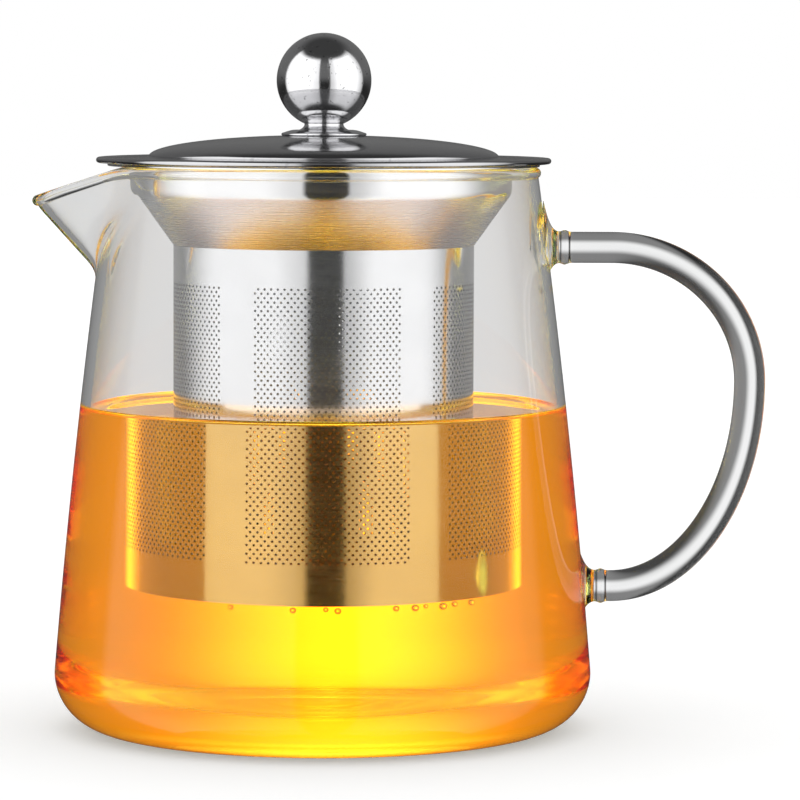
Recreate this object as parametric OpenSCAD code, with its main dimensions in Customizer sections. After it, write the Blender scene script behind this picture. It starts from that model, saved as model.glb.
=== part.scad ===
// Glass teapot with a steel infuser and a steel lid.
// The origin is on the table, on the axis of the vessel. +Z is up, the spout points to -X and the
// handle to +X. The infuser hangs in the glass by its flange, and the lid rests on that flange.

/* [Vessel] */
// Height of the glass rim above the table
rim_h = 119; // [114:0.5:124]
// Outer radius of the glass where it is narrowest, just under the rim
neck_r = 45.3; // [45:0.1:46]
// Outer radius of the glass just above the rounded heel
belly_r = 57; // [55:0.5:60]
// Radius of the rounded heel between the wall and the base
heel_r = 12; // [10:0.5:14]
// How far the side wall bows outwards between heel and neck
side_bow = 0.75; // [0:0.05:1.5]
// Thickness of the glass wall
glass_t = 1.9; // [1.6:0.1:2.1]
// Thickness of the glass base
base_t = 3; // [2.4:0.1:4]
// Radius of the fire-polished bead along the rim
bead_r = 1.15; // [1.1:0.05:1.3]

/* [Spout] */
// Distance from the axis to the tip of the spout
spout_reach = 61.4; // [58:0.2:65]
// Height of the tip of the spout
spout_h = 112.5; // [110:0.5:114]
// Half of the width of the spout where it leaves the rim
spout_half_w = 16; // [13:0.5:18]
// Height at which the spout leaves the side wall
spout_root_h = 97.4; // [92:0.2:102]

/* [Handle] */
// Diameter of the solid glass rod
rod_d = 6.6; // [5.5:0.1:8]
// Distance from the axis to the middle of the rod where it bulges furthest out
grip_x = 90.3; // [84:0.5:96]
// Height at which the rod bulges furthest out
grip_h = 73.7; // [70:0.5:78]
// Height of the upper arm
upper_arm_h = 102.1; // [99:0.1:103]
// Height of the lower arm
lower_arm_h = 30.2; // [26:0.2:36]

/* [Infuser] */
// Outer radius of the collar that stands in the mouth of the glass
collar_r = 39.8; // [39:0.1:41]
// Outer radius of the perforated sleeve
sleeve_r = 31.7; // [28:0.1:34]
// Height of the top of the sleeve
sleeve_top = 102.4; // [98:0.2:104]
// Height of the bottom of the infuser
infuser_bottom = 29.4; // [20:0.2:50]
// Thickness of the steel sheet
sheet_t = 0.5; // [0.4:0.05:0.6]

/* [Lid] */
// Radius of the lid over its rolled edge
lid_r = 48; // [47:0.5:50]
// Radius of the raised crown
crown_r = 36.9; // [35:0.1:38]
// Rise of the crown above the brim
crown_rise = 4.6; // [3:0.1:7]
// Thickness of the lid
lid_t = 0.7; // [0.6:0.05:0.9]

/* [Knob] */
// Radius of the ball
ball_r = 10; // [8:0.5:12]
// Radius of the flared foot under the ball
foot_r = 9; // [7:0.5:11]
// Radius of the neck between foot and ball
neck_knob_r = 4.1; // [3.8:0.1:5]
// Height of the neck above the crown
neck_knob_h = 2.4; // [2:0.1:5]

/* [Hidden] */

glass = [0.82, 0.92, 0.94, 0.45];
polished = [0.80, 0.80, 0.82];
satin = [0.66, 0.67, 0.69];

$fn = 96;
arc_steps = 8; // points along each rounded stretch of an outline
side_steps = 10; // points along the side wall
rest_gap = 0.05; // play between parts that rest on each other and lift apart

// Vessel
heel_x = belly_r - heel_r; // radius of the flat base
neck_h = rim_h - 2; // height of the narrowest section
side_lean = atan((belly_r - neck_r - 4 * side_bow) / (neck_h - heel_r));
inner_heel_r = heel_r - base_t;
bead_x = neck_r + 0.65 - bead_r; // radius of the bead's centre line
bead_z = rim_h - bead_r;

// Spout
tip_r = 3.6; // outer rounding of each side of the tip
tip_half_w = 1.6; // half of the distance between the two sides of the tip
root_r = 4; // outer rounding of the spout's flanks at the rim
keel_r = 5; // outer rounding of the spout's keel at the wall
tip_x = -spout_reach + tip_r;
root_x = -39;
keel_x = -41.8;
lip_y = spout_half_w - root_r * 0.2; // where the lip leaves the rim
lip_x = -sqrt(bead_x * bead_x - lip_y * lip_y);
lip_slope = (bead_z - spout_h) / (lip_x - tip_x);

// Handle
weld_out = 5; // length of a weld, from the glass wall to the end of the rod
upper_wall_x = side_r(upper_arm_h);
lower_wall_x = side_r(lower_arm_h);
arm_x = 61; // where both arms start to bend
rod_steps = 44;
rod_sides = 20;
// The rod's centre line in the plane y = 0: two straight arms and two quarter ellipses
rod_line = concat(
    [[upper_wall_x + weld_out, upper_arm_h]],
    [for (i = [0 : rod_steps])
        let (a = 90 - 180 * i / rod_steps, rise = a > 0 ? upper_arm_h - grip_h : grip_h - lower_arm_h)
        [arm_x + (grip_x - arm_x) * cos(a), grip_h + rise * sin(a)]],
    [[lower_wall_x + weld_out, lower_arm_h]]
);

// Infuser
flange_z = rim_h + rest_gap; // underside of the flange
flange_t = 0.6;
flange_r = neck_r + 0.3;
collar_low = rim_h - 5.5; // where the upright collar turns into the cone
bend_r = 3; // rounding between collar and cone
lap_h = 4; // length of the lap between two pieces of sheet
sleeve_in_r = sleeve_r - sheet_t;
cone_lean = atan2(collar_r - sleeve_r, collar_low - sleeve_top); // from the vertical

// Lid
roll_r = 0.6; // radius of the rolled edge
roll_z = flange_z + flange_t + rest_gap + roll_r;
roll_x = lid_r - roll_r;
brim_z = roll_z + 0.7; // top of the brim where the crown begins
ring_r = collar_r - sheet_t - 1.2; // outer radius of the locating ring
ring_t = 0.6;
ring_drop = 5.2; // how far the ring reaches below the flange's top, just short of the cone
ring_flange_r = 42;
screw_r = 2;

// Knob
crown_top = brim_z + crown_rise;
ball_z = crown_top + neck_knob_h + sqrt(ball_r * ball_r - neck_knob_r * neck_knob_r);
ball_t = 0.8;
spigot_r = 3;
washer_r = 5;
washer_t = 0.8;
head_r = 3.6;
head_h = 2.2;
screw_tip = crown_top + 4;
washer_top = crown_under(washer_r) - 0.01;

// Points along an arc of radius r about c, from angle a to angle b
function arc(c, r, a, b) =
    [for (i = [0 : arc_steps]) let (t = a + (b - a) * i / arc_steps) c + r * [cos(t), sin(t)]];

// Outer radius of the side wall at height z
function side_r(z) =
    let (t = (z - heel_r) / (neck_h - heel_r))
    belly_r - (belly_r - neck_r) * t + side_bow * 4 * t * (1 - t);

// Points up the side wall between two heights, set inwards by an inset
function side(from, to, inset) =
    [for (i = [0 : side_steps]) let (z = from + (to - from) * i / side_steps) [side_r(z) - inset, z]];

// Height of the crown's top and underside at radius r
function crown_over(r) = brim_z + crown_rise * sqrt(1 - pow(r / crown_r, 2));
function crown_under(r) = brim_z - lid_t + crown_rise * sqrt(1 - pow(r / (crown_r - lid_t), 2));

// Height of the brim's top at radius r
function brim_over(r) =
    brim_z - (brim_z - roll_z - lid_t / 2) * (r - crown_r) / (roll_x - crown_r);

// Height of the brim's underside at radius r
function brim_under(r) =
    brim_z - lid_t - (brim_z - roll_z - lid_t / 2) * (r - crown_r + lid_t) / (roll_x - crown_r + lid_t);

module vessel_outside() {
    rotate_extrude()
        polygon(concat(
            [[0, 0]],
            arc([heel_x, heel_r], heel_r, -90, side_lean),
            side(heel_r * (1 + sin(side_lean)) + 1, bead_z, 0),
            [[0, bead_z]]
        ));
}

module vessel_cavity() {
    inner_heel_x = belly_r - glass_t - inner_heel_r;
    rotate_extrude()
        polygon(concat(
            [[0, base_t]],
            arc([inner_heel_x, heel_r], inner_heel_r, -90, side_lean),
            side(heel_r + 2, neck_h, glass_t),
            [[side_r(neck_h) - glass_t, rim_h + root_r], [0, rim_h + root_r]]
        ));
}

// Height of the spout's lip at x
function lip_z(x) = spout_h + lip_slope * (x - tip_x);

// The spout as a solid, its surface set inwards by an inset
module beak(inset) {
    hull() {
        for (side = [-1, 1]) {
            translate([tip_x, side * tip_half_w, spout_h])
                sphere(tip_r - inset, $fn = 32);
            translate([root_x, side * (spout_half_w - root_r), lip_z(root_x)])
                sphere(root_r - inset, $fn = 32);
        }
        translate([keel_x, 0, spout_root_h])
            sphere(keel_r - inset, $fn = 32);
    }
}

// Everything above the sloping lip of the spout, reaching inwards past the rim by a distance
module above_lip(inwards) {
    hinge_x = lip_x - 0.9;
    reach = 30;
    translate([hinge_x, 0, lip_z(hinge_x)])
        rotate([0, -atan(lip_slope), 0])
            translate([-reach, -reach, 0])
                cube([reach + inwards, 2 * reach, reach]);
}

// One straight stretch of the bead along the spout's lip
module lip_bead(a, b) {
    hull() {
        translate(a) sphere(bead_r, $fn = 24);
        translate(b) sphere(bead_r, $fn = 24);
    }
}

// The bead along the lip, from the rim round the tip and back to the rim
module spout_lip() {
    mid = tip_r - glass_t / 2;
    for (side = [-1, 1]) {
        rim_point = [lip_x, side * lip_y, bead_z];
        shoulder = [tip_x, side * (tip_half_w + mid), spout_h];
        nose = [tip_x - mid, side * tip_half_w, spout_h];
        lip_bead(rim_point, shoulder);
        lip_bead(shoulder, nose);
    }
    lip_bead([tip_x - mid, -tip_half_w, spout_h], [tip_x - mid, tip_half_w, spout_h]);
}

// Blown glass vessel, its rim beaded and its lip pulled out into a spout
module glass_body() {
    color(glass) {
        difference() {
            union() {
                vessel_outside();
                translate([0, 0, bead_z])
                    rotate_extrude() translate([bead_x, 0]) circle(bead_r, $fn = 48);
                difference() {
                    beak(0);
                    above_lip(20);
                }
            }
            vessel_cavity();
            beak(glass_t);
            above_lip(0);
        }
        spout_lip();
    }
}

// Ear-shaped handle of solid glass rod, swept along its centre line
module glass_handle() {
    last = len(rod_line) - 1;
    points = [
        for (i = [0 : last])
            let (
                ahead = rod_line[min(i + 1, last)] - rod_line[max(i - 1, 0)],
                across = [-ahead[1], ahead[0]] * rod_d / 2 / norm(ahead)
            )
            for (k = [0 : rod_sides - 1])
                let (a = 360 * k / rod_sides, p = rod_line[i] + across * cos(a))
                [p[0], rod_d / 2 * sin(a), p[1]]
    ];
    walls = [
        for (i = [0 : last - 1], k = [0 : rod_sides - 1])
            let (next = (k + 1) % rod_sides, here = i * rod_sides)
            [here + k, here + next, here + rod_sides + next, here + rod_sides + k]
    ];
    ends = [
        [for (k = [rod_sides - 1 : -1 : 0]) k],
        [for (k = [0 : rod_sides - 1]) last * rod_sides + k]
    ];
    color(glass) polyhedron(points, concat(walls, ends), convexity = 4);
}

// Gather of glass that joins the rod to the wall: a concave flare ending in a soft ring
module weld(wall_x, z, flare) {
    rod_r = rod_d / 2;
    ring_r = rod_r + 0.35;
    flare_r = flare - ring_r;
    difference() {
        translate([0, 0, z])
            rotate([0, 90, 0])
                rotate_extrude()
                    polygon(concat(
                        [[0, wall_x - 2], [flare, wall_x - 2]],
                        [for (a = [180 : 15 : 270])
                            [flare + flare_r * sin(a), wall_x + 2.6 + 2.6 * cos(a)]],
                        [[ring_r + 0.15, wall_x + weld_out - 1.4], [ring_r, wall_x + weld_out - 0.6],
                            [rod_r, wall_x + weld_out], [0, wall_x + weld_out]]
                    ));
        vessel_outside();
    }
}

module handle_upper_weld() {
    color(glass) weld(upper_wall_x, upper_arm_h, 6.4);
}

module handle_lower_weld() {
    color(glass) weld(lower_wall_x, lower_arm_h, 5.4);
}

// Spun flange, upright collar and cone, in one piece of sheet
module infuser_collar() {
    lap_r = sleeve_in_r - sheet_t;
    inner_r = collar_r - sheet_t;
    color(polished)
        rotate_extrude()
            polygon(concat(
                [[flange_r, flange_z], [flange_r, flange_z + flange_t], [inner_r, flange_z + flange_t]],
                arc([inner_r - bend_r, collar_low], bend_r, 0, -cone_lean),
                [[lap_r, sleeve_top + sheet_t], [lap_r, sleeve_top - lap_h],
                    [sleeve_in_r, sleeve_top - lap_h], [sleeve_in_r, sleeve_top],
                    [sleeve_r, sleeve_top]],
                arc([collar_r - bend_r, collar_low], bend_r, -cone_lean, 0),
                [[collar_r, flange_z]]
            ));
}

// Rolled sleeve, perforated over most of its height
module infuser_sleeve() {
    color(satin)
        translate([0, 0, infuser_bottom])
            difference() {
                cylinder(r = sleeve_r, h = sleeve_top - infuser_bottom);
                translate([0, 0, -1])
                    cylinder(r = sleeve_in_r, h = sleeve_top - infuser_bottom + 2);
            }
}

// Pressed bottom of the infuser, a shallow cup that laps up inside the sleeve
module infuser_base() {
    corner_r = 1.5;
    color(satin)
        translate([0, 0, infuser_bottom])
            rotate_extrude()
                polygon(concat(
                    [[0, 0]],
                    arc([sleeve_in_r - corner_r, corner_r], corner_r, -90, 0),
                    [[sleeve_in_r, lap_h], [sleeve_in_r - sheet_t, lap_h]],
                    arc([sleeve_in_r - corner_r, corner_r], corner_r - sheet_t, 0, -90),
                    [[0, sheet_t]]
                ));
}

// The lid as a solid down to its brim, for cutting what sits on it
module crown_outside() {
    crown_steps = 24;
    rotate_extrude()
        polygon(concat(
            [[0, brim_z]],
            [for (i = [0 : crown_steps])
                let (a = 90 * i / crown_steps) [crown_r * cos(a), brim_z + crown_rise * sin(a)]]
        ));
}

// Pressed lid: rolled edge, flat brim and raised crown with a hole for the screw
module lid_shell() {
    crown_steps = 24;
    under_r = crown_r - lid_t;
    hole_a = acos(screw_r / crown_r);
    under_hole_a = acos(screw_r / under_r);
    color(polished) {
        rotate_extrude()
            polygon(concat(
                [[roll_x, brim_over(roll_x)]],
                [for (i = [0 : crown_steps])
                    let (a = hole_a * i / crown_steps)
                    [crown_r * cos(a), brim_z + crown_rise * sin(a)]],
                [for (i = [crown_steps : -1 : 0])
                    let (a = under_hole_a * i / crown_steps)
                    [under_r * cos(a), brim_z - lid_t + crown_rise * sin(a)]],
                [[roll_x, brim_under(roll_x)]]
            ));
        translate([0, 0, roll_z])
            rotate_extrude() translate([roll_x, 0]) circle(roll_r, $fn = 32);
    }
}

// Ring under the brim that centres the lid in the infuser's collar
module lid_inner_ring() {
    color(satin)
        rotate_extrude()
            polygon([
                [ring_r, flange_z - ring_drop + flange_t],
                [ring_r, flange_z + flange_t + rest_gap],
                [ring_flange_r, flange_z + flange_t + rest_gap],
                [ring_flange_r, brim_under(ring_flange_r)],
                [ring_r - ring_t, brim_under(ring_r - ring_t)],
                [ring_r - ring_t, flange_z - ring_drop + flange_t]
            ]);
}

// Hollow ball with a hole below for the stem's spigot
module knob_ball() {
    color(polished)
        translate([0, 0, ball_z])
            difference() {
                sphere(ball_r);
                sphere(ball_r - ball_t);
                translate([0, 0, -ball_r - 1]) cylinder(r = spigot_r, h = ball_r);
            }
}

// Turned stem: flared foot, narrow neck and the spigot that carries the ball
module knob_stem() {
    foot_top = crown_over(foot_r) + 0.5;
    flare_h = crown_top + neck_knob_h - foot_top;
    flare_w = foot_r - neck_knob_r;
    spigot_top = ball_z - ball_r + 3;
    color(polished)
        difference() {
            union() {
                difference() {
                    rotate_extrude()
                        polygon(concat(
                            [[0, brim_z], [foot_r, brim_z], [foot_r, foot_top]],
                            [for (a = [10 : 10 : 90])
                                [foot_r - flare_w * sin(a), foot_top + flare_h * (1 - cos(a))]],
                            [[neck_knob_r, ball_z], [0, ball_z]]
                        ));
                    translate([0, 0, ball_z]) sphere(ball_r);
                }
                translate([0, 0, crown_top]) cylinder(r = spigot_r, h = spigot_top - crown_top);
            }
            crown_outside();
            translate([0, 0, brim_z]) cylinder(r = screw_r, h = screw_tip - brim_z);
        }
}

module knob_washer() {
    color(satin)
        translate([0, 0, washer_top - washer_t])
            difference() {
                cylinder(r = washer_r, h = washer_t);
                translate([0, 0, -1]) cylinder(r = screw_r, h = washer_t + 2);
            }
}

// Round-headed screw with a cross slot, driven from below into the stem
module knob_screw() {
    head_top = washer_top - washer_t;
    slot_w = 0.9;
    slot_l = 4;
    slot_d = 1.2;
    color(satin)
        difference() {
            union() {
                translate([0, 0, head_top - head_h]) cylinder(r1 = head_r - 0.7, r2 = head_r, h = head_h);
                translate([0, 0, head_top]) cylinder(r = screw_r, h = screw_tip - head_top);
            }
            for (turn = [0, 90])
                rotate([0, 0, turn])
                    translate([-slot_l / 2, -slot_w / 2, head_top - head_h - 1])
                        cube([slot_l, slot_w, slot_d + 1]);
        }
}

glass_body();
glass_handle();
handle_upper_weld();
handle_lower_weld();
infuser_collar();
infuser_sleeve();
infuser_base();
lid_shell();
lid_inner_ring();
knob_ball();
knob_stem();
knob_washer();
knob_screw();
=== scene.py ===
"""Glass teapot with a steel infuser, a steel lid and tea in it.
Metres, +Z up. The spout points to -X and the handle to +X. Sizes below are in millimetres."""

import math

import bmesh
import bpy
import numpy as np
from mathutils import Matrix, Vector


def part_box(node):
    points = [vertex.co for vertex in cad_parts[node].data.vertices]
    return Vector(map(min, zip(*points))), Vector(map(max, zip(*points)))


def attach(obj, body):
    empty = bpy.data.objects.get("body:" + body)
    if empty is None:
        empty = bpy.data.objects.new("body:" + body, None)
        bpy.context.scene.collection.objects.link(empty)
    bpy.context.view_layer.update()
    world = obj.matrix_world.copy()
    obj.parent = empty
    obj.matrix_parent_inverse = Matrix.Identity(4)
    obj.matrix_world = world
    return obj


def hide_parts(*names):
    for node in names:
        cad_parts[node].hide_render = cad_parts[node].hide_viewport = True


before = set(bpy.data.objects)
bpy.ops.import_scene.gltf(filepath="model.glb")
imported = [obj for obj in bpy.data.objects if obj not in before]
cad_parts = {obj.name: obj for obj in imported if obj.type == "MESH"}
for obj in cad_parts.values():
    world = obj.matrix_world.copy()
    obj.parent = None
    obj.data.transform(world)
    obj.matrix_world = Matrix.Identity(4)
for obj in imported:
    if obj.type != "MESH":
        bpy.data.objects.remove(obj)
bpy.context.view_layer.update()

MM = 0.001


def top_of(node):
    """Height of the top of a CAD node, in millimetres."""
    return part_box(node)[1][2] / MM


def foot_of(node):
    """Height of the bottom of a CAD node, in millimetres."""
    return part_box(node)[0][2] / MM


def reach_of(node):
    """How far a CAD node reaches along +Y, which is the radius of a round one, in millimetres."""
    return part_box(node)[1][1] / MM


# Vessel
RIM_H = top_of("glass_body")
BELLY_R = reach_of("glass_body") - 0.01  # a hair inside the solid, so nothing stands out of its box
NECK_R = 45.3
HEEL_R = 12.0
SIDE_BOW = 0.75
GLASS_T = 1.9
BASE_T = 3.0
BEAD_R = 1.15
BEAD_PROUD = 0.65  # how far the rim's bead stands out of the wall
BEAD_Z = RIM_H - BEAD_R
NECK_H = RIM_H - 2.0
SIDE_LEAN = math.atan((BELLY_R - NECK_R - 4 * SIDE_BOW) / (NECK_H - HEEL_R))

# Spout
SPOUT_REACH = 61.25
SPOUT_HALF_ANGLE = math.radians(30)
TIP_ROUNDING = math.radians(5.4)
KEEL_FOOT = (48.9, 97.7)  # radius and height where the keel leaves the wall
KEEL_SLOPE = 0.9055
LIP_SLOPE = 0.339
LIP_FOOT_X = 42.1

# Handle
ROD_R = 3.3
ARM_X = 61.0
GRIP_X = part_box("glass_handle")[1][0] / MM - ROD_R
GRIP_H = 73.7
UPPER_ARM_H = 102.1
LOWER_ARM_H = foot_of("glass_handle") + ROD_R
WELD_OUT = 5.0

# Infuser
SLEEVE_R = reach_of("infuser_sleeve")
SLEEVE_TOP = top_of("infuser_sleeve")
SLEEVE_FOOT = foot_of("infuser_sleeve")
SHEET_T = 0.5
FLANGE_TOP = top_of("infuser_collar")
FLANGE_T = 0.6
FLANGE_R = NECK_R + 0.3
COLLAR_R = 39.8
COLLAR_LOW = 113.5
LAP_H = 4.0

# Lid and knob
LID_R = 48.0
LID_T = 0.7
ROLL_R = 0.6
ROLL_Z = FLANGE_TOP + 0.05 + ROLL_R
BRIM_Z = ROLL_Z + 0.7
CROWN_R = 36.9
CROWN_RISE = 4.6
BALL_R = 10.0
BALL_Z = top_of("knob_ball") - BALL_R
FOOT_R = 9.0
KNOB_NECK_R = 4.1
SCREW_R = 2.0

# Tea
TEA_H = 67.5
TEA_OVERLAP = 0.12  # how far the tea reaches into the glass, so that no air lies between them
MENISCUS_RISE = 1.3
MENISCUS_REACH = 1.4


# ---------------------------------------------------------------- mesh helpers


def smooth_max(a, b, width):
    """The larger of two values, rounded where they are closer than a width."""
    near = np.maximum(width - np.abs(a - b), 0) / width
    return np.maximum(a, b) + near * near * width / 4


def smooth_min(a, b, width):
    return -smooth_max(-a, -b, width)


def ease(x):
    """0 below 0, 1 above 1, and a smooth step between."""
    x = np.clip(x, 0, 1)
    return x * x * (3 - 2 * x)


def new_object(name, points_mm, faces):
    """An object in the scene from points in millimetres."""
    mesh = bpy.data.meshes.new(name)
    mesh.from_pydata([tuple(p) for p in np.asarray(points_mm) * MM], [], faces)
    mesh.validate()
    obj = bpy.data.objects.new(name, mesh)
    bpy.context.scene.collection.objects.link(obj)
    return obj


def tidy_mesh(obj, sharp_degrees):
    """Turns every face outwards, shades it smooth and keeps edges sharper than an angle."""
    work = bmesh.new()
    work.from_mesh(obj.data)
    bmesh.ops.recalc_face_normals(work, faces=work.faces)
    work.to_mesh(obj.data)
    work.free()
    obj.data.shade_smooth()
    obj.data.set_sharp_from_angle(angle=math.radians(sharp_degrees))


def finish_piece(obj, material, body, nodes=(), sharp_degrees=50):
    """Gives a piece its material, its body and the CAD nodes it stands for."""
    tidy_mesh(obj, sharp_degrees)
    obj.data.materials.clear()
    obj.data.materials.append(material)
    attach(obj, body)
    if nodes:
        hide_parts(*nodes)


def join(obj, tool, operation):
    """Adds a tool's solid to an object's or cuts it out, and removes the tool."""
    change = obj.modifiers.new("join", "BOOLEAN")
    change.operation = operation
    change.solver = "EXACT"
    change.object = tool
    graph = bpy.context.evaluated_depsgraph_get()
    mesh = bpy.data.meshes.new_from_object(obj.evaluated_get(graph))
    obj.modifiers.clear()
    obj.data = mesh
    bpy.data.objects.remove(tool)


def round_corners(corners, steps=6):
    """A closed outline from (r, z, radius) corners, each rounded by an arc of its radius."""
    outline = []
    for i, (r, z, radius) in enumerate(corners):
        here = np.array([r, z])
        if radius == 0:
            outline.append(here)
            continue
        before = np.array(corners[i - 1][:2]) - here
        after = np.array(corners[(i + 1) % len(corners)][:2]) - here
        before /= np.linalg.norm(before)
        after /= np.linalg.norm(after)
        half = math.acos(np.clip(before @ after, -1, 1)) / 2
        start = here + before * radius / math.tan(half)
        end = here + after * radius / math.tan(half)
        middle = here + (before + after) / np.linalg.norm(before + after) * radius / math.sin(half)
        a = start - middle
        turn = math.pi - 2 * half
        if a[0] * (end - middle)[1] - a[1] * (end - middle)[0] < 0:
            turn = -turn
        for k in range(steps + 1):
            t = turn * k / steps
            spin = np.array([[math.cos(t), -math.sin(t)], [math.sin(t), math.cos(t)]])
            outline.append(middle + spin @ a)
    return outline


def revolve(name, outline, closed, steps=256):
    """A solid of revolution. A closed outline stays off the axis, an open one starts and ends on it."""
    angles = np.linspace(0, 2 * math.pi, steps, endpoint=False)
    outline = np.asarray(outline, float)
    rows = outline if closed else outline[1:-1]
    points = [(r * math.cos(a), r * math.sin(a), z) for r, z in rows for a in angles]
    faces = []
    count = len(rows)
    for j in range(count if closed else count - 1):
        here, above = j * steps, (j + 1) % count * steps
        faces += [
            (here + k, here + (k + 1) % steps, above + (k + 1) % steps, above + k)
            for k in range(steps)
        ]
    if not closed:
        last = (count - 1) * steps
        for row, (_, z) in ((0, outline[0]), (last, outline[-1])):
            pole = len(points)
            points.append((0, 0, z))
            faces += [(row + k, row + (k + 1) % steps, pole) for k in range(steps)]
    return new_object(name, points, faces)


# ---------------------------------------------------------------- node helpers


class Nodes:
    """Short calls for building a node tree."""

    def __init__(self, tree):
        self.tree = tree
        tree.nodes.clear()

    def add(self, kind, **values):
        node = self.tree.nodes.new(kind)
        for key, value in values.items():
            setattr(node, key, value)
        return node

    def link(self, source, target):
        self.tree.links.new(source, target)

    def put(self, socket, value):
        if isinstance(value, bpy.types.NodeSocket):
            self.link(value, socket)
        else:
            socket.default_value = value

    def math(self, operation, a, b=0.0):
        node = self.add("ShaderNodeMath", operation=operation)
        self.put(node.inputs[0], a)
        self.put(node.inputs[1], b)
        return node.outputs[0]

    def product(self, *parts):
        result = parts[0]
        for part in parts[1:]:
            result = self.math("MULTIPLY", result, part)
        return result

    def larger(self, a, b):
        return self.math("MAXIMUM", a, b)

    def above(self, value, limit):
        """1 where a value is above a limit, and 0 elsewhere."""
        return self.math("GREATER_THAN", value, limit)

    def inverse(self, value):
        return self.math("SUBTRACT", 1.0, value)

    def steps(self, value, table):
        """The product of a smooth step for each row of a table."""
        return self.product(*[self.step(value, *row) for row in table])

    def step(self, value, low, high, to_low=0.0, to_high=1.0):
        """A smooth step from to_low at low to to_high at high."""
        node = self.add("ShaderNodeMapRange", interpolation_type="SMOOTHSTEP")
        for socket, number in zip(node.inputs[:5], (value, low, high, to_low, to_high)):
            self.put(socket, number)
        return node.outputs[0]

    def noise(self, vector, scale, detail=2.0, roughness=0.5):
        node = self.add("ShaderNodeTexNoise")
        self.put(node.inputs["Vector"], vector)
        node.inputs["Scale"].default_value = scale
        node.inputs["Detail"].default_value = detail
        node.inputs["Roughness"].default_value = roughness
        return node.outputs["Fac"]

    def bump(self, height, strength, distance, normal=None):
        node = self.add("ShaderNodeBump")
        node.inputs["Strength"].default_value = strength
        node.inputs["Distance"].default_value = distance
        self.put(node.inputs["Height"], height)
        if normal:
            self.link(normal, node.inputs["Normal"])
        return node.outputs["Normal"]


def new_material(name):
    material = bpy.data.materials.new(name)
    material.use_nodes = True
    nodes = Nodes(material.node_tree)
    output = nodes.add("ShaderNodeOutputMaterial")
    shader = nodes.add("ShaderNodeBsdfPrincipled")
    nodes.link(shader.outputs[0], output.inputs["Surface"])
    return material, nodes, shader, output


def round_the_axis(nodes, along, round_):
    """Coordinates that follow the turning of a round part: fine across, drawn out round the axis."""
    place = nodes.add("ShaderNodeTexCoord").outputs["Object"]
    split = nodes.add("ShaderNodeSeparateXYZ")
    nodes.link(place, split.inputs[0])
    x, y, z = split.outputs
    radius = nodes.math("SQRT", nodes.math("ADD", nodes.product(x, x), nodes.product(y, y)))
    angle = nodes.math("ARCTAN2", y, x)
    join = nodes.add("ShaderNodeCombineXYZ")
    nodes.link(nodes.math("MULTIPLY", angle, round_), join.inputs[0])
    nodes.link(nodes.math("MULTIPLY", radius, along), join.inputs[1])
    nodes.link(nodes.math("MULTIPLY", z, along), join.inputs[2])
    return place, join.outputs[0]


# ---------------------------------------------------------------- materials

WHITE = (1, 1, 1, 1)
TURNING_FINE = 5000.0  # turning marks along the axis
TURNING_ROUND = 3.0  # and around it
HAZE_SCALE = 45.0
HAZE_TONE = 0.93  # how bright the duller patches of steel are
PIT_SCALE = 1100.0
PIT_COLOR = (0.12, 0.12, 0.12, 1)
PIT_DEPTH = 3.0  # depth of a pit, in depths of a turning mark
MARK_DEPTH = 0.00002
SATIN_ROUGH = 0.2
SATIN_FADE = 1.2  # height over which the satin finish begins, in millimetres

GLASS_IOR = 1.47
GLASS_EDGE_TINT = (0.2, 0.2, 0.2, 1)  # weakens what the glass mirrors where it is seen square on
GLASS_DEPTH_COLOR = (0.86, 0.9, 0.9, 1)
GLASS_DENSITY = 18.0
GLASS_WAVE = 0.0004
TEA_IOR = 1.333
TEA_EDGE_TINT = (0.15, 0.15, 0.15, 1)
TEA_DEPTH_COLOR = (0.9875, 0.8625, 0.375, 1)
TEA_DENSITY = 40.0
TEA_WAVE = 0.0003
BUBBLE_IOR = 0.75


def steel(name, color, rough, rough_spread, grain, smudge, pitting=0.0, satin_below=None):
    """Stainless steel with turning marks round the axis, faint smudges and fine pits.
    Below the height satin_below, in millimetres, the finish turns satin."""
    material, nodes, shader, _ = new_material(name)
    place, turned = round_the_axis(nodes, TURNING_FINE, TURNING_ROUND)
    marks = nodes.noise(turned, 1.0, detail=3.0, roughness=0.65)
    haze = nodes.noise(place, HAZE_SCALE, detail=4.0, roughness=0.6)
    tone = nodes.add("ShaderNodeMix", data_type="RGBA")
    tone.inputs["A"].default_value = (*[c * HAZE_TONE for c in color], 1)
    tone.inputs["B"].default_value = (*color, 1)
    nodes.link(nodes.step(haze, 0.3, 0.7), tone.inputs["Factor"])
    specks = nodes.noise(place, PIT_SCALE, detail=3.0, roughness=0.7)
    pits = nodes.step(specks, 0.6, 0.7, 0.0, pitting)
    stain = nodes.add("ShaderNodeMix", data_type="RGBA")
    stain.inputs["B"].default_value = PIT_COLOR
    nodes.link(pits, stain.inputs["Factor"])
    nodes.link(tone.outputs["Result"], stain.inputs["A"])
    nodes.link(stain.outputs["Result"], shader.inputs["Base Color"])
    worn = nodes.math("MULTIPLY", nodes.step(haze, 0.45, 0.8), smudge)
    ground = nodes.step(marks, 0.25, 0.75, rough - rough_spread, rough + rough_spread)
    total = nodes.math("ADD", ground, worn)
    if satin_below:
        height = nodes.add("ShaderNodeSeparateXYZ")
        nodes.link(place, height.inputs[0])
        low, high = (satin_below - SATIN_FADE) * MM, satin_below * MM
        satin = nodes.step(height.outputs[2], low, high, SATIN_ROUGH, 0.0)
        total = nodes.math("ADD", total, satin)
    nodes.link(total, shader.inputs["Roughness"])
    relief = nodes.math("SUBTRACT", marks, nodes.math("MULTIPLY", pits, PIT_DEPTH))
    nodes.link(nodes.bump(relief, grain, MARK_DEPTH), shader.inputs["Normal"])
    shader.inputs["Metallic"].default_value = 1.0
    return material


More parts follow.
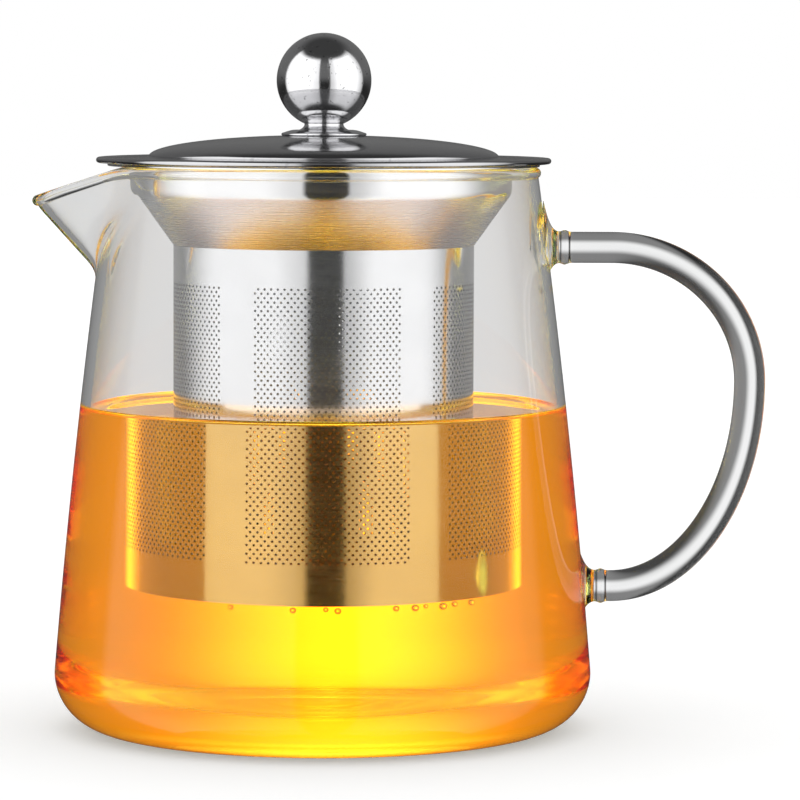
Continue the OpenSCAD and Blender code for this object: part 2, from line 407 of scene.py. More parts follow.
def make_clear(nodes, shader, output, ior, edge_tint, depth_color, density):
    """Turns a shader into a clear body that light bends in and fades in."""
    shader.inputs["Base Color"].default_value = WHITE
    shader.inputs["Transmission Weight"].default_value = 1.0
    shader.inputs["Specular Tint"].default_value = edge_tint
    shader.inputs["IOR"].default_value = ior
    depth = nodes.add("ShaderNodeVolumeAbsorption")
    depth.inputs["Color"].default_value = depth_color
    depth.inputs["Density"].default_value = density
    nodes.link(depth.outputs[0], output.inputs["Volume"])


def clear_glass(name, ripple):
    """Blown borosilicate glass: clear, faintly grey-green in its depth, with slow ripples."""
    material, nodes, shader, output = new_material(name)
    place = nodes.add("ShaderNodeTexCoord").outputs["Object"]
    slow = nodes.noise(place, 28.0, detail=1.0)
    speck = nodes.noise(place, 900.0, detail=2.0)
    nodes.link(nodes.bump(slow, ripple, GLASS_WAVE), shader.inputs["Normal"])
    nodes.link(nodes.step(speck, 0.68, 0.8, 0.0, 0.05), shader.inputs["Roughness"])
    make_clear(nodes, shader, output, GLASS_IOR, GLASS_EDGE_TINT, GLASS_DEPTH_COLOR, GLASS_DENSITY)
    return material


def tea_material():
    """Clear tea that takes out blue over centimetres and some green over the width of the pot.
    The rest of its amber is in the light that the world shows through it."""
    material, nodes, shader, output = new_material("tea")
    place = nodes.add("ShaderNodeTexCoord").outputs["Object"]
    slow = nodes.noise(place, 35.0, detail=1.0)
    nodes.link(nodes.bump(slow, 0.05, TEA_WAVE), shader.inputs["Normal"])
    shader.inputs["Roughness"].default_value = 0.0
    make_clear(nodes, shader, output, TEA_IOR, TEA_EDGE_TINT, TEA_DEPTH_COLOR, TEA_DENSITY)
    return material


def bubble_material():
    """Air inside tea: the light bends the other way."""
    material, _, shader, _ = new_material("bubble")
    shader.inputs["Base Color"].default_value = WHITE
    shader.inputs["Roughness"].default_value = 0.0
    shader.inputs["Transmission Weight"].default_value = 1.0
    shader.inputs["IOR"].default_value = BUBBLE_IOR
    return material


glass = clear_glass("blown_glass", 0.12)
mirror_steel = steel("mirror_steel", (0.68, 0.68, 0.69), 0.07, 0.02, 0.12, 0.12, pitting=0.75)
# The lid's steel is darker than the other steel: painted shade that stands in for the dim room its crown
# mirrors.
lid_steel = steel("lid_steel", (0.47, 0.47, 0.48), 0.12, 0.03, 0.04, 0.06, pitting=0.25)
collar_steel = steel("collar_steel", (0.78, 0.78, 0.79), 0.07, 0.02, 0.02, 0.04, satin_below=COLLAR_LOW)
sleeve_steel = steel("sleeve_steel", (0.7, 0.7, 0.71), 0.12, 0.03, 0.03, 0.05)
tea_liquid = tea_material()
bubble_air = bubble_material()


# ---------------------------------------------------------------- vessel


COLUMNS = 384
SPOUT_CROWDING = 0.55  # brings the columns closer together at the spout
BASE_RINGS = (4, 10, 17, 24, 30, 34, 37, 39.5, 42, 44)
BASE_HOLLOW = 0.35  # how far the middle of the base stands off the table
HEEL_STEPS = 16
HEEL_THINNING = 1.6  # the glass has its wall thickness after 1 / 1.6 of the heel
WALL_STEPS = 84
WALL_CROWDING = 1.35  # brings the rows closer together at the lip


def side_r(z):
    """Outer radius of the vessel's side wall at a height."""
    t = (z - HEEL_R) / (NECK_H - HEEL_R)
    return BELLY_R - (BELLY_R - NECK_R) * t + SIDE_BOW * 4 * t * (1 - t)


def wall_r(angle, z):
    """Outer radius of the vessel, spout included. The angle is counted from the spout."""
    keel = KEEL_FOOT[0] + (z - KEEL_FOOT[1]) * KEEL_SLOPE
    reach = smooth_min(keel, SPOUT_REACH, 2.0)
    off = np.sqrt(angle * angle + TIP_ROUNDING**2)
    beak = reach * math.sin(SPOUT_HALF_ANGLE + TIP_ROUNDING)
    beak = beak / np.sin(np.minimum(SPOUT_HALF_ANGLE + off, math.pi / 2))
    fillet = 2.0 + 4.0 * ease((z - 98) / 12)
    return smooth_max(side_r(z), beak, fillet)


def lip_height(angle):
    """Height of the middle of the rim's bead, which slopes down along the spout."""
    z = np.full_like(angle, BEAD_Z)
    for _ in range(12):
        out = wall_r(angle, z) * np.cos(angle)
        plane = BEAD_Z - LIP_SLOPE * (out - LIP_FOOT_X)
        z = np.where(np.abs(angle) < 0.9, smooth_min(plane, BEAD_Z, 1.2), BEAD_Z)
    return z


def unit(vectors):
    """Vectors scaled to a length of 1."""
    return vectors / np.linalg.norm(vectors, axis=-1, keepdims=True)


def vessel_rows():
    """The outer surface as rows of points from the base to the lip, with the glass thickness of each."""
    u = np.linspace(-math.pi, math.pi, COLUMNS, endpoint=False)
    angle = u - SPOUT_CROWDING * np.sin(u)
    profile = []
    for r in BASE_RINGS:
        hollow = BASE_HOLLOW * (1 - ease((r - 28) / 14))
        profile.append((r, hollow, BASE_T - hollow))
    for i in range(HEEL_STEPS):
        a = -math.pi / 2 + (SIDE_LEAN + math.pi / 2) * i / HEEL_STEPS
        r = BELLY_R - HEEL_R + HEEL_R * math.cos(a)
        thick = BASE_T + (GLASS_T - BASE_T) * ease(min(1.0, HEEL_THINNING * i / HEEL_STEPS))
        profile.append((r, HEEL_R + HEEL_R * math.sin(a), thick))
    rows, thickness = [], []
    for r, z, thick in profile:
        rows.append(np.stack([-r * np.cos(angle), -r * np.sin(angle), np.full(COLUMNS, z)], -1))
        thickness.append(thick)
    foot = HEEL_R * (1 + math.sin(SIDE_LEAN))
    lip = lip_height(angle) - 1.0
    for i in range(WALL_STEPS + 1):
        share = 1 - (1 - i / WALL_STEPS) ** WALL_CROWDING
        z = foot + (lip - foot) * share
        r = wall_r(angle, z)
        rows.append(np.stack([-r * np.cos(angle), -r * np.sin(angle), z], -1))
        thickness.append(GLASS_T)
    return np.array(rows), np.array(thickness), angle


def make_vessel():
    """The blown vessel as one closed surface: outside, bead, inside."""
    rows, thickness, angle = vessel_rows()
    columns = rows.shape[1]
    across = np.roll(rows, -1, axis=1) - np.roll(rows, 1, axis=1)
    up = np.gradient(rows, axis=0)
    outwards = unit(np.cross(up, across))
    if outwards[-1, 0] @ rows[-1, 0] < 0:
        outwards = -outwards
    uneven = 0.05 * np.sin(3 * angle + 0.7) + 0.03 * np.sin(7 * angle)
    depth = thickness[:, None] + uneven[None, :] * ease((rows[..., 2] - 8) / 20)
    inside = rows - outwards * depth[..., None]

    along = unit(across[-1])
    out = outwards[-1]
    rise = np.cross(out, along)
    rise *= np.sign(rise[:, 2:3])
    middle = rows[-1] - out * (BEAD_R - BEAD_PROUD) + rise * 1.0
    bead = [
        middle + BEAD_R * (math.cos(a) * out + math.sin(a) * rise)
        for a in np.radians(np.linspace(-52, 192, 22))
    ]
    loops = [*rows, *bead, *inside[::-1]]
    points = np.concatenate(loops)
    faces = []
    for j in range(len(loops) - 1):
        here, above = j * columns, (j + 1) * columns
        for k in range(columns):
            n = (k + 1) % columns
            faces.append((here + k, here + n, above + n, above + k))
    last = (len(loops) - 1) * columns
    poles = np.array([[0, 0, rows[0, 0, 2]], [0, 0, inside[0, 0, 2]]])
    for row, pole in ((0, len(points)), (last, len(points) + 1)):
        faces += [(row + k, row + (k + 1) % columns, pole) for k in range(columns)]
    points = np.concatenate([points, poles])
    side = columns * 3 // 4  # a column well away from the spout
    inner_profile = [(math.hypot(p[0], p[1]), p[2]) for p in inside[:, side]]
    return new_object("vessel_glass", points, faces), inner_profile


def handle_line():
    """Middle of the rod and its radius, from inside the upper wall round to inside the lower wall."""
    buried = 0.9
    line = []

    def weld(wall_x, z, flare):
        found = []
        for i in range(25):
            d = -buried + (WELD_OUT + 1 + buried) * i / 24
            radius = ROD_R + (flare - ROD_R) * max(0.0, 1 - d / 3.2) ** 3
            radius += 0.38 * math.exp(-(((d - 3.6) / 0.75) ** 2))
            found.append((wall_x + d, z, radius))
        return found

    upper = weld(side_r(UPPER_ARM_H), UPPER_ARM_H, 6.4)
    lower = weld(side_r(LOWER_ARM_H), LOWER_ARM_H, 5.4)
    line += upper
    start = upper[-1][0]
    line += [(start + (ARM_X - start) * i / 5, UPPER_ARM_H, ROD_R) for i in range(1, 5)]
    steps = 140
    for i in range(steps + 1):
        a = math.pi / 2 - math.pi * i / steps
        rise = UPPER_ARM_H - GRIP_H if a > 0 else GRIP_H - LOWER_ARM_H
        line.append((ARM_X + (GRIP_X - ARM_X) * math.cos(a), GRIP_H + rise * math.sin(a), ROD_R))
    line += [p for p in lower[::-1] if p[0] < ARM_X - 0.3]
    return line


def make_handle():
    """The rod with the flares of its two welds, as one closed surface."""
    line = handle_line()
    sides = 56
    middle = np.array([(x, z) for x, z, _ in line])
    ahead = unit(np.gradient(middle, axis=0))
    points, faces = [], []
    for i, (x, z, radius) in enumerate(line):
        for k in range(sides):
            a = 2 * math.pi * k / sides
            points.append((
                x - ahead[i][1] * radius * math.cos(a),
                radius * math.sin(a),
                z + ahead[i][0] * radius * math.cos(a),
            ))
    for i in range(len(line) - 1):
        here, above = i * sides, (i + 1) * sides
        for k in range(sides):
            n = (k + 1) % sides
            faces.append((here + k, here + n, above + n, above + k))
    last = (len(line) - 1) * sides
    faces.append(tuple(range(sides)))
    faces.append(tuple(last + k for k in range(sides)))
    return new_object("handle_rod", points, faces)


vessel, inner_profile = make_vessel()
rod = make_handle()
tidy_mesh(vessel, 180)
tidy_mesh(rod, 180)
join(vessel, rod, "UNION")
finish_piece(
    vessel, glass, "vessel",
    ("glass_body", "glass_handle", "handle_upper_weld", "handle_lower_weld"),
    sharp_degrees=180,
)


# ---------------------------------------------------------------- tea


def make_tea():
    """Tea that fills the vessel to TEA_H, creeping up the glass at its edge."""
    top = TEA_H + MENISCUS_RISE
    outline = [(0, inner_profile[0][1] - TEA_OVERLAP)]
    for (r0, z0), (r1, z1) in zip(inner_profile, inner_profile[1:]):
        if z0 >= top:
            break
        across = np.array([z1 - z0, r0 - r1])
        across = across / np.linalg.norm(across) * TEA_OVERLAP
        outline.append((r0 + across[0], z0 + across[1]))
    edge = outline[-1][0]
    outline.append((edge - 0.02, top))
    for i in range(1, 40):
        inwards = MENISCUS_REACH * 5 * (i / 39) ** 1.6
        outline.append((edge - inwards, TEA_H + MENISCUS_RISE * math.exp(-inwards / MENISCUS_REACH)))
    middle = outline[-1][0]
    outline += [(middle * (1 - i / 12), TEA_H) for i in range(1, 12)]
    outline.append((0, TEA_H))
    return revolve("tea", outline, closed=False)


finish_piece(make_tea(), tea_liquid, "vessel", sharp_degrees=70)


# ---------------------------------------------------------------- infuser


def make_collar():
    """Flange, upright collar and cone in one sheet, lapping into the top of the sleeve."""
    inner = COLLAR_R - SHEET_T
    lap_r = SLEEVE_R - 2 * SHEET_T
    bottom = FLANGE_TOP - FLANGE_T
    return revolve("collar_sheet", round_corners([
        (FLANGE_R, bottom, 0.28),
        (FLANGE_R, FLANGE_TOP, 0.28),
        (inner, FLANGE_TOP, 0.9),
        (inner, COLLAR_LOW, 2.4),
        (lap_r, SLEEVE_TOP + SHEET_T * 0.6, 1.2),
        (lap_r, SLEEVE_TOP - LAP_H, 0.15),
        (SLEEVE_R - SHEET_T, SLEEVE_TOP - LAP_H, 0.15),
        (SLEEVE_R - SHEET_T, SLEEVE_TOP, 0),
        (SLEEVE_R, SLEEVE_TOP, 0.1),
        (COLLAR_R, COLLAR_LOW, 2.8),
        (COLLAR_R, bottom, 0.4),
    ]), closed=True, steps=320)


PITCH = 1.43  # distance between the holes of a row
ROW = 0.893  # distance between rows
HOLE_R = 0.29
HOLE_ROWS = 64
HOLE_COLUMNS = 22
ZONE_TOP = 94.8
PANEL_TURNS = (-144, -72, 0, 72, 144)  # middles of the perforated panels, in degrees
PANEL_MIDDLE = -87.4  # where the front panel's middle is, in degrees from +X


def make_sleeve():
    """The rolled sheet with every hole cut through it, in five panels of staggered rows."""
    half = PITCH / 2 / SLEEVE_R
    panel_cells = HOLE_COLUMNS * 2 + 1
    angles, in_panel = [], []
    starts = [math.radians(PANEL_MIDDLE + t) - half * panel_cells / 2 for t in PANEL_TURNS]
    for i, start in enumerate(starts):
        angles += [start + half * k for k in range(panel_cells)]
        in_panel += range(panel_cells)
        end = start + half * panel_cells
        following = starts[i + 1] if i + 1 < len(starts) else starts[0] + 2 * math.pi
        plain = max(2, round((following - end) / (half * 1.6)))
        angles += [end + (following - end) * k / plain for k in range(plain)]
        in_panel += [-1] * plain
    zone_foot = ZONE_TOP - HOLE_ROWS * ROW
    heights = list(np.linspace(SLEEVE_FOOT, zone_foot, 6)[:-1])
    first_row = len(heights)
    heights += [zone_foot + ROW * j for j in range(HOLE_ROWS)]
    heights += list(np.linspace(ZONE_TOP, SLEEVE_TOP, 7))
    columns, levels = len(angles), len(heights)

    points = []
    for r in (SLEEVE_R, SLEEVE_R - SHEET_T):
        for z in heights:
            points += [(r * math.cos(a), r * math.sin(a), z) for a in angles]
    shell = columns * levels

    faces = []

    def corner(k, j):
        return j * columns + k % columns

    def plate(loop):
        """The same face on the outside and, turned over, on the inside."""
        faces.append(tuple(loop))
        faces.append(tuple(i + shell for i in reversed(loop)))

    for j in range(levels - 1):
        row = j - first_row
        k = 0
        while k < columns:
            cell = in_panel[k]
            holed = 0 <= row < HOLE_ROWS and cell >= 0 and cell % 2 == row % 2
            if not holed or cell + 1 >= panel_cells:
                plate([corner(k, j), corner(k + 1, j), corner(k + 1, j + 1), corner(k, j + 1)])
                k += 1
                continue
            middle_a = angles[k] + half
            middle_z = (heights[j] + heights[j + 1]) / 2
            first = len(points)
            for r in (SLEEVE_R, SLEEVE_R - SHEET_T):
                for n in range(6):
                    t = math.radians(-90 + 60 * n)
                    a = middle_a + HOLE_R * math.cos(t) / SLEEVE_R
                    points.append((r * math.cos(a), r * math.sin(a), middle_z + HOLE_R * math.sin(t)))
            rim = [
                corner(k + 1, j), corner(k + 2, j), corner(k + 2, j + 1),
                corner(k + 1, j + 1), corner(k, j + 1), corner(k, j),
            ]
            for n in range(6):
                m = (n + 1) % 6
                faces.append((rim[n], rim[m], first + m, first + n))
                faces.append((rim[m] + shell, rim[n] + shell, first + 6 + n, first + 6 + m))
                faces.append((first + n, first + m, first + 6 + m, first + 6 + n))
            k += 2
    for k in range(columns):
        low, high = corner(k, 0), corner(k, levels - 1)
        low_n, high_n = corner(k + 1, 0), corner(k + 1, levels - 1)
        faces.append((low_n, low, low + shell, low_n + shell))
        faces.append((high, high_n, high_n + shell, high + shell))
    return new_object("sleeve_sheet", points, faces)


DRAIN_RINGS = 9
DRAIN_PITCH = 2.7
DRAIN_R = 0.55


def make_infuser_base():
    """The pressed bottom of the infuser, with its drain holes cut through."""
    outer = SLEEVE_R - SHEET_T - 0.01
    inner = outer - SHEET_T
    foot = SLEEVE_FOOT
    base = revolve("base_sheet", [
        (0, foot),
        *[(outer * i / 12, foot) for i in range(1, 11)],
        *round_corners([
            (outer * 0.9, foot, 0), (outer, foot, 1.5), (outer, foot + LAP_H, 0.1),
            (inner, foot + LAP_H, 0.1), (inner, foot + SHEET_T, 1.0),
            (outer * 0.9, foot + SHEET_T, 0),
        ]),
        *[(outer * i / 12, foot + SHEET_T) for i in range(10, 0, -1)],
        (0, foot + SHEET_T),
    ], closed=False)
    punches = make_punches(foot)
    tidy_mesh(base, 180)
    tidy_mesh(punches, 180)
    join(base, punches, "DIFFERENCE")
    return base


def make_punches(foot):
    """Eight-sided pins in rings, one through each drain hole."""
    points, faces = [], []
    for ring in range(DRAIN_RINGS + 1):
        for k in range(max(1, 6 * ring)):
            a = 2 * math.pi * k / max(1, 6 * ring)
            x, y = ring * DRAIN_PITCH * math.cos(a), ring * DRAIN_PITCH * math.sin(a)
            first = len(points)
            for z in (foot - 1, foot + SHEET_T + 1):
                for n in range(8):
                    t = math.pi * n / 4
                    points.append((x + DRAIN_R * math.cos(t), y + DRAIN_R * math.sin(t), z))
            faces.append(tuple(first + n for n in range(8)))
            faces.append(tuple(first + 8 + n for n in range(8)))
            for n in range(8):
                m = (n + 1) % 8
                faces.append((first + n, first + m, first + 8 + m, first + 8 + n))
    return new_object("punches", points, faces)


finish_piece(make_collar(), collar_steel, "infuser", ("infuser_collar",))
finish_piece(make_sleeve(), sleeve_steel, "infuser", ("infuser_sleeve",))
finish_piece(make_infuser_base(), sleeve_steel, "infuser", ("infuser_base",))


# ---------------------------------------------------------------- lid and knob


def crown_z(r):
    """Height of the crown's top at a radius."""
    return BRIM_Z + CROWN_RISE * math.sqrt(max(0.0, 1 - (r / CROWN_R) ** 2))


def make_lid():
    """Rolled edge, flat brim and raised crown in one sheet."""
    roll_x = LID_R - ROLL_R
    brim_edge = ROLL_Z + LID_T / 2
    outline = []
    for a in np.radians(np.linspace(-150, 125, 24)):
        outline.append((roll_x + ROLL_R * math.cos(a), ROLL_Z + ROLL_R * math.sin(a)))
    outline.append((roll_x - 0.8, brim_edge))
    outline += [
        (roll_x - 0.8 + (CROWN_R + 0.5 - roll_x + 0.8) * t, brim_edge + (BRIM_Z - brim_edge) * t)
        for t in (0.3, 0.6, 0.9, 1.0)
    ]
    hole = math.acos(SCREW_R / CROWN_R)
    steps = 60
    for i in range(steps + 1):
        a = hole * i / steps
        outline.append((CROWN_R * math.cos(a), BRIM_Z + 0.12 + (CROWN_RISE - 0.12) * math.sin(a)))
    under_r = CROWN_R - LID_T
    under_hole = math.acos(SCREW_R / under_r)
    for i in range(steps, -1, -1):
        a = under_hole * i / steps
        outline.append((under_r * math.cos(a), BRIM_Z - LID_T + CROWN_RISE * math.sin(a)))
    outline.append((roll_x - 0.8, brim_edge - LID_T))
    return revolve("lid_sheet", outline, closed=True, steps=320)


def make_ball():
    """The ball, cut flat where it meets the stem."""
    cut = math.asin(KNOB_NECK_R * 0.98 / BALL_R)
    outline = [(0, BALL_Z - BALL_R * math.cos(cut))]
    steps = 96
    outline += [
        (BALL_R * math.sin(cut + (math.pi - cut) * i / steps),
         BALL_Z - BALL_R * math.cos(cut + (math.pi - cut) * i / steps))
        for i in range(steps)
    ]
    outline.append((0, BALL_Z + BALL_R))
    return revolve("ball", outline, closed=False, steps=192)


def make_stem():
    """Foot with a soft edge and a shallow dome, a fine groove, then a hollow curve up to the ball."""
    neck_z = BALL_Z - BALL_R * math.cos(math.asin(KNOB_NECK_R / BALL_R))
    outline = [(r, crown_z(r) + 0.01) for r in np.linspace(SCREW_R, FOOT_R - 0.3, 8)]
    edge_z = crown_z(FOOT_R - 0.3) + 0.3
    outline += [
        (FOOT_R - 0.3 + 0.3 * math.cos(a), edge_z + 0.3 * math.sin(a))
        for a in np.radians(np.linspace(-60, 70, 8))
    ]
    groove_r = 6.3
    dome_top = edge_z + 0.95
    inwards = groove_r - FOOT_R + 0.3
    climb = dome_top - edge_z - 0.3
    outline += [
        (FOOT_R - 0.3 + inwards * t, edge_z + 0.3 + climb * math.sin(t * 1.35))
        for t in np.linspace(0.12, 1.0, 8)
    ]
    groove_z = outline[-1][1] - 0.12
    outline.append((groove_r - 0.12, groove_z))
    flare = groove_r - 0.2 - KNOB_NECK_R
    rise = neck_z - groove_z
    outline += [
        (groove_r - 0.2 - flare * math.sin(a), groove_z + rise * (1 - math.cos(a)))
        for a in np.radians(np.linspace(8, 90, 12))
    ]
    outline.append((SCREW_R, neck_z))
    return revolve("stem", outline, closed=True, steps=192)


finish_piece(make_lid(), lid_steel, "lid", ("lid_shell",), sharp_degrees=35)
finish_piece(make_ball(), mirror_steel, "lid", ("knob_ball",))
finish_piece(make_stem(), mirror_steel, "lid", ("knob_stem",))
for name in ("lid_inner_ring", "knob_washer", "knob_screw"):
    for material_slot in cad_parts[name].material_slots:
        material_slot.material = sleeve_steel


# ---------------------------------------------------------------- bubbles


def make_bubbles():
    """Small air bubbles that cling under the edge of the infuser, in the tea."""
    places = [  # degrees from the front, distance below the edge, radius
        (-31, 0.7, 0.55), (-9, 0.8, 0.6), (2, 0.6, 0.5), (6, 0.9, 0.65), (26, 0.7, 0.6),
        (33, 0.8, 0.7), (37, 0.6, 0.45), (44, 0.9, 0.75), (49, 0.7, 0.6), (57, 0.8, 0.65),
    ]
    for number, (turn, drop, radius) in enumerate(places):
        a = math.radians(turn - 90)
        ring = SLEEVE_R - 0.1
        outline = [
            (radius * math.sin(math.pi * i / 12), -radius * math.cos(math.pi * i / 12))
            for i in range(13)
        ]
        bubble = revolve(f"bubble_{number}", outline, closed=False, steps=24)
        centre = (ring * math.cos(a) * MM, ring * math.sin(a) * MM, (SLEEVE_FOOT - drop) * MM)
        bubble.data.transform(Matrix.Translation(centre))
        finish_piece(bubble, bubble_air, "vessel", sharp_degrees=180)


make_bubbles()


# ---------------------------------------------------------------- stage, light and camera


FLOOR_HALF = 4000
FLOOR_Z = -0.05


def make_floor():
    """A pale floor. Steel and glass don't see it: they see the world's own light in its place."""
    material, _, shader, _ = new_material("floor")
    shader.inputs["Base Color"].default_value = (0.82, 0.82, 0.82, 1)
    shader.inputs["Roughness"].default_value = 0.9
    shader.inputs["Emission Color"].default_value = WHITE
    shader.inputs["Emission Strength"].default_value = 0.3
    corners = [
        (x * FLOOR_HALF, y * FLOOR_HALF, FLOOR_Z)
        for x, y in ((-1, -1), (1, -1), (1, 1), (-1, 1))
    ]
    floor = new_object("floor", corners, [(0, 1, 2, 3)])
    floor.data.materials.append(material)
    floor.visible_glossy = False
    floor.visible_transmission = False


# Light by direction. A row gives the degrees over which it changes, and its strength at either end.
LEFT_LIGHT = ((-13, -9, 1.0, 0.0), (-135, -85, 0.2, 1.0), (-40, -12, 1.0, 0.72))
RIGHT_LIGHT = ((15, 18, 0.0, 1.0), (18, 42, 0.55, 1.0), (80, 122, 1.0, 0.2))
LIGHT_SIDES = (-106, 110, 4.0)  # where the two lights end on bare steel, and how softly
LIGHT_HEIGHTS = (-80, 51, 6.0)
LIGHT_STRENGTH = 1.28
BARE_STEEL_EXTRA = 0.4
BARE_STEEL_CUT = 25.0  # how much higher the lights' lower edge is for bare steel
ROOM = ((-10, 12, 0.03, 0.18), (35, 65, 1.0, 0.35))
TABLE_IN_TEA = ((14, 34, 0.0, 0.75), (40, 52, 1.0, 0.0))
OTHER_WAY = (70, 100, 0.0, 0.7)
BARE_ACROSS = (2, 42, 0.68, 0.05)
BARE_HEIGHTS = ((4, 36, 1.0, 0.12), (-70, -20, 0.4, 1.0))
BARE_TABLE = (-50, -28, 0.9, 0.0)
ROD_ACROSS = ((-17, -6, 0.07, 0.9), (1, 16, 1.0, 0.25))
ROD_HEIGHTS = ((-24, -10, 0.25, 1.0), (0, 16, 1.0, 0.25))
TEA_ACROSS = (10, 60, 1.0, 0.74)
TEA_HEIGHTS = (20, 60, 1.0, 0.45)
TEA_MIRRORED_LOW = (-60, -40, 0.05, 1.0)
GLOW_SHIFT = (3.2, 6.0)
GLOW_SIZE = (13.0, 26.0)
GLOW_STRENGTH = 3.2
TRAPPED_EXTRA = 3.0
BACK_HALF = 95.0  # degrees from the back within which light in tea was not mirrored by steel

# Tints of the light shown through tea, which deepen its weak absorption.
AMBER = (1.0, 0.47, 0.05)  # behind the tea
HONEY = (1.0, 0.76, 0.55)  # on steel in the tea
STRAW = (0.95, 0.92, 0.3)  # for light that the heel guides round the pot


def sky_angles(nodes):
    """Degrees from the front, degrees from the back and degrees above level."""
    split = nodes.add("ShaderNodeSeparateXYZ")
    nodes.link(nodes.add("ShaderNodeTexCoord").outputs["Generated"], split.inputs[0])
    x, y, z = split.outputs
    degrees = 180 / math.pi
    towards = nodes.math("ARCTAN2", x, nodes.math("MULTIPLY", y, -1.0))
    front = nodes.math("MULTIPLY", towards, degrees)
    back = nodes.math("MULTIPLY", nodes.math("ARCTAN2", x, y), degrees)
    height = nodes.math("MULTIPLY", nodes.math("ARCSINE", z), degrees)
    return front, back, height


def band(nodes, value, low, high, soft):
    """1 between two values and 0 outside them, with soft edges."""
    rise = nodes.step(value, low - soft, low + soft)
    fall = nodes.step(value, high - soft, high + soft, 1.0, 0.0)
    return nodes.product(rise, fall)


def mirrored_map(nodes, front, height, outside, in_tea):
    """What polished steel mirrors: a light on either side, a dim room and, in tea, the table."""
    lights = nodes.math("ADD", nodes.steps(front, LEFT_LIGHT), nodes.steps(front, RIGHT_LIGHT))
    ends = nodes.larger(band(nodes, front, *LIGHT_SIDES), nodes.inverse(outside))
    low = nodes.math("ADD", float(LIGHT_HEIGHTS[0]), nodes.product(outside, BARE_STEEL_CUT))
    tall = nodes.product(band(nodes, height, *LIGHT_HEIGHTS), nodes.above(height, low))
    strength = nodes.math("ADD", LIGHT_STRENGTH, nodes.product(outside, BARE_STEEL_EXTRA))
    boxes = nodes.product(lights, ends, tall, strength)
    tilt = nodes.math("ABSOLUTE", height)
    table = nodes.product(nodes.steps(tilt, TABLE_IN_TEA), in_tea)
    return nodes.math("ADD", nodes.math("ADD", boxes, nodes.steps(height, ROOM)), table)


def bare_map(nodes, away, height, other_way):
    """What shows through bare glass: bright behind and low down, dark to the sides and above."""
    behind = nodes.product(nodes.step(away, *BARE_ACROSS), nodes.steps(height, BARE_HEIGHTS))
    return nodes.larger(behind, nodes.larger(other_way, nodes.step(height, *BARE_TABLE)))


def rod_map(nodes, back, height, other_way):
    """What shows through the rod of the handle: a narrow bright strip between dark sides."""
    strip = nodes.product(nodes.steps(back, ROD_ACROSS), nodes.steps(height, ROD_HEIGHTS))
    return nodes.larger(strip, other_way)


def tea_map(nodes, back, away, height, direct):
    """What shows through tea: soft, and brightest just below the middle of the backdrop."""
    wide = nodes.product(nodes.step(away, *TEA_ACROSS), nodes.step(height, *TEA_HEIGHTS))
    distances = [
        nodes.math("DIVIDE", nodes.math("ADD", angle, shift), size)
        for angle, shift, size in zip((back, height), GLOW_SHIFT, GLOW_SIZE)
    ]
    far = nodes.math("ADD", *[nodes.product(d, d) for d in distances])
    glow = nodes.product(nodes.math("EXPONENT", nodes.product(far, -1.0)), GLOW_STRENGTH)
    low = nodes.larger(nodes.step(height, *TEA_MIRRORED_LOW), direct)
    return nodes.product(nodes.math("ADD", wide, glow), low)


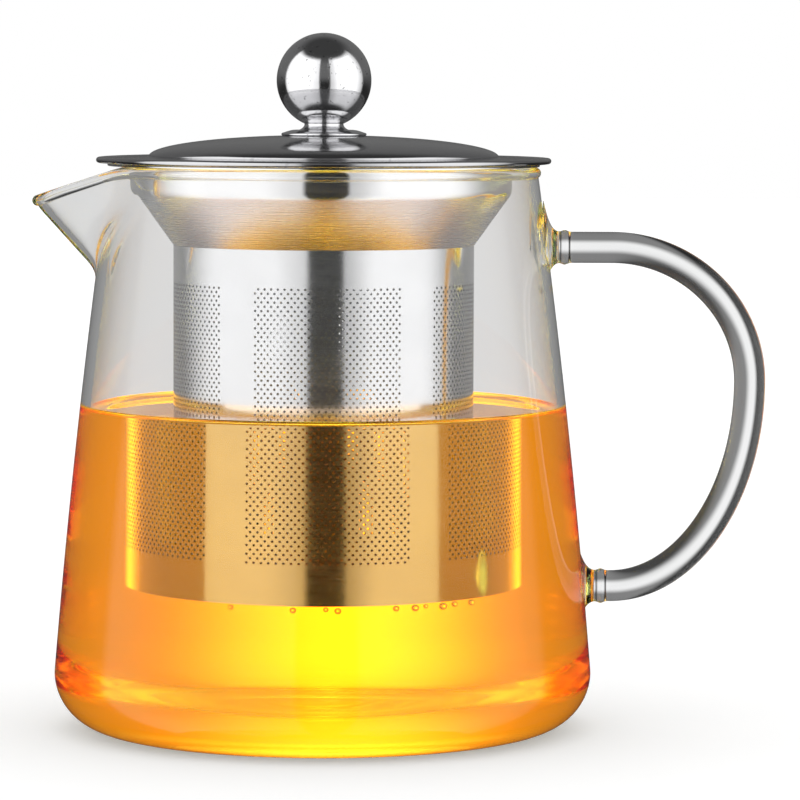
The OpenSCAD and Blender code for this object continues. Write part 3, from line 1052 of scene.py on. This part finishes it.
def make_world():
    """A studio whose light depends on the kind of ray that asks for it.
    The kind is guessed from how many surfaces a ray has crossed and how often it was mirrored. A ray that
    crosses more than four is taken to be in tea, which some rays in the edges of bare glass are not."""
    world = bpy.data.worlds.new("studio")
    bpy.context.scene.world = world
    world.use_nodes = True
    nodes = Nodes(world.node_tree)
    output = nodes.add("ShaderNodeOutputWorld")
    front, back, height = sky_angles(nodes)
    away = nodes.math("ABSOLUTE", back)

    path = nodes.add("ShaderNodeLightPath").outputs
    crossed, mirrors = path["Transmission Depth"], path["Glossy Depth"]
    outside = nodes.math("LESS_THAN", crossed, 0.5)
    through_rod = nodes.math("LESS_THAN", crossed, 2.5)
    in_tea = nodes.above(crossed, 4.5)
    glossy = nodes.above(mirrors, 0.5)
    again = nodes.product(nodes.above(mirrors, 1.5), in_tea)
    trapped = nodes.product(nodes.above(mirrors, 2.5), in_tea)
    deep = nodes.larger(nodes.above(crossed, 6.5), again)
    backwards = nodes.product(in_tea, nodes.math("LESS_THAN", away, BACK_HALF))
    on_steel = nodes.product(glossy, nodes.inverse(nodes.larger(backwards, deep)))

    def light(strength, color=(1, 1, 1)):
        node = nodes.add("ShaderNodeBackground")
        node.inputs["Color"].default_value = (*color, 1)
        nodes.put(node.inputs["Strength"], strength)
        return node.outputs[0]

    other_way = nodes.step(away, *OTHER_WAY)
    mirrored = mirrored_map(nodes, front, height, outside, in_tea)
    full = tea_map(nodes, back, away, height, nodes.larger(nodes.inverse(glossy), deep))
    result = light(full, AMBER)
    for chosen, source in (
        (trapped, light(nodes.product(full, TRAPPED_EXTRA), STRAW)),  # these would come out too dark
        (nodes.inverse(in_tea), light(bare_map(nodes, away, height, other_way))),
        (through_rod, light(rod_map(nodes, back, height, other_way))),
        (on_steel, light(mirrored)),
        (nodes.product(on_steel, in_tea), light(mirrored, HONEY)),
        (nodes.above(path["Diffuse Depth"], 0.5), light(1.0)),
        (path["Is Camera Ray"], light(1.0)),
    ):
        mix = nodes.add("ShaderNodeMixShader")
        nodes.link(chosen, mix.inputs[0])
        nodes.link(result, mix.inputs[1])
        nodes.link(source, mix.inputs[2])
        result = mix.outputs[0]
    nodes.link(result, output.inputs["Surface"])
    world.cycles.sampling_method = "NONE"


EYE_DISTANCE = 946.0
EYE_H = 139.0
AIM_X = 16.0
AIM_H = 69.6
LENS = 201.4
CAMERA_ROLL = math.radians(-0.2)


def make_camera():
    """Level with the knob and nearly a metre away, looking slightly down along +Y."""
    data = bpy.data.cameras.new("camera")
    data.lens = LENS
    data.sensor_width = 36.0
    camera = bpy.data.objects.new("camera", data)
    camera.location = (AIM_X * MM, -EYE_DISTANCE * MM, EYE_H * MM)
    pitch = math.atan((EYE_H - AIM_H) / EYE_DISTANCE)
    camera.rotation_euler = (math.pi / 2 - pitch, CAMERA_ROLL, 0)
    bpy.context.scene.collection.objects.link(camera)
    bpy.context.scene.camera = camera


make_floor()
make_world()
make_camera()

BOUNCES = 256  # fewer cut off light that the heel guides round the pot

scene = bpy.context.scene
scene.view_settings.view_transform = "Standard"
scene.cycles.max_bounces = BOUNCES
scene.cycles.transmission_bounces = BOUNCES
scene.cycles.glossy_bounces = BOUNCES
scene.cycles.volume_bounces = 0
